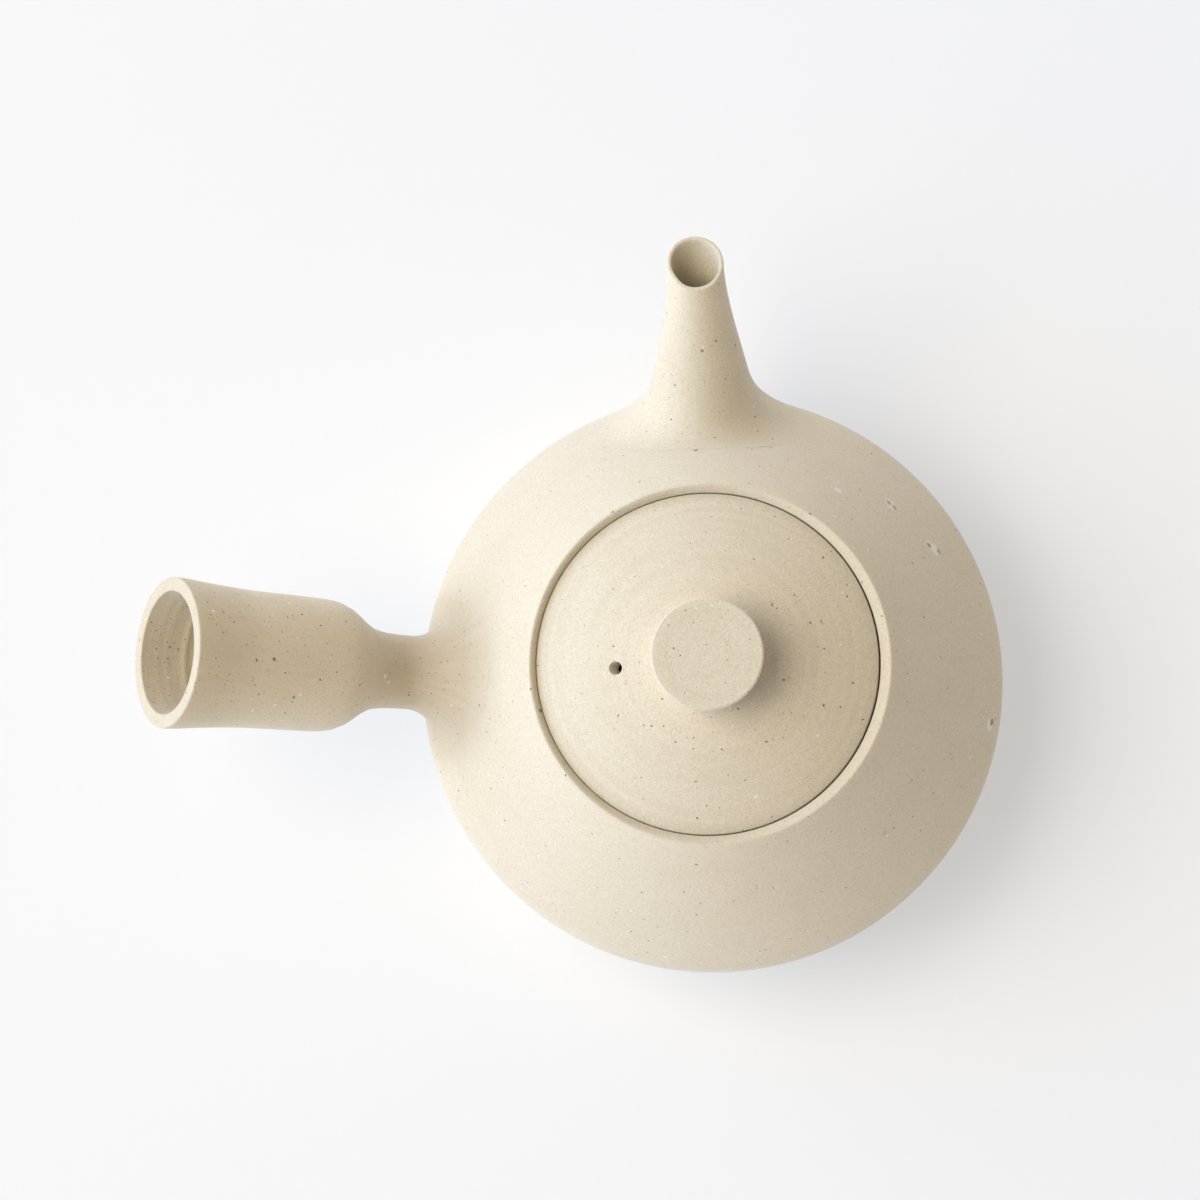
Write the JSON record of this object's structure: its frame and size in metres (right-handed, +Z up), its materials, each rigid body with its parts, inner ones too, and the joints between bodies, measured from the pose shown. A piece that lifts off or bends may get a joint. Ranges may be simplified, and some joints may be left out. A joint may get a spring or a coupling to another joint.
{
  "type": "side-handled teapot",
  "caption": "Side-handled stoneware teapot (kyusu): round bowl, tapered spout with a pierced strainer behind it, hollow handle square to the spout, and a drop-in lid with a flat knob.",
  "frame": {"origin": "centre of the flat base, on the surface that the teapot stands on", "axes": "+Z up, +Y along the spout, handle 3 degrees short of -X, so that the longest extent lies along X"},
  "size_m": [0.1613, 0.135, 0.0831],
  "materials": {
    "bowl_clay": "unglazed matt stoneware, speckled",
    "handle_clay": "unglazed matt stoneware, speckled",
    "spout_clay": "unglazed matt stoneware, speckled",
    "strainer_clay": "unglazed matt stoneware",
    "lid_clay": "unglazed matt stoneware, speckled"
  },
  "bodies": {
    "pot": {"pot_body": "bowl_clay", "handle": "handle_clay", "spout": "spout_clay", "strainer": "strainer_clay"},
    "lid": {"lid": "lid_clay", "lid_knob": "lid_clay"}
  },
  "joints": [
    {"name": "lid_lift", "type": "slide", "parent": "pot", "child": "lid", "axis": [0, 0, 1], "range_m": [0, 0.04]}
  ]
}
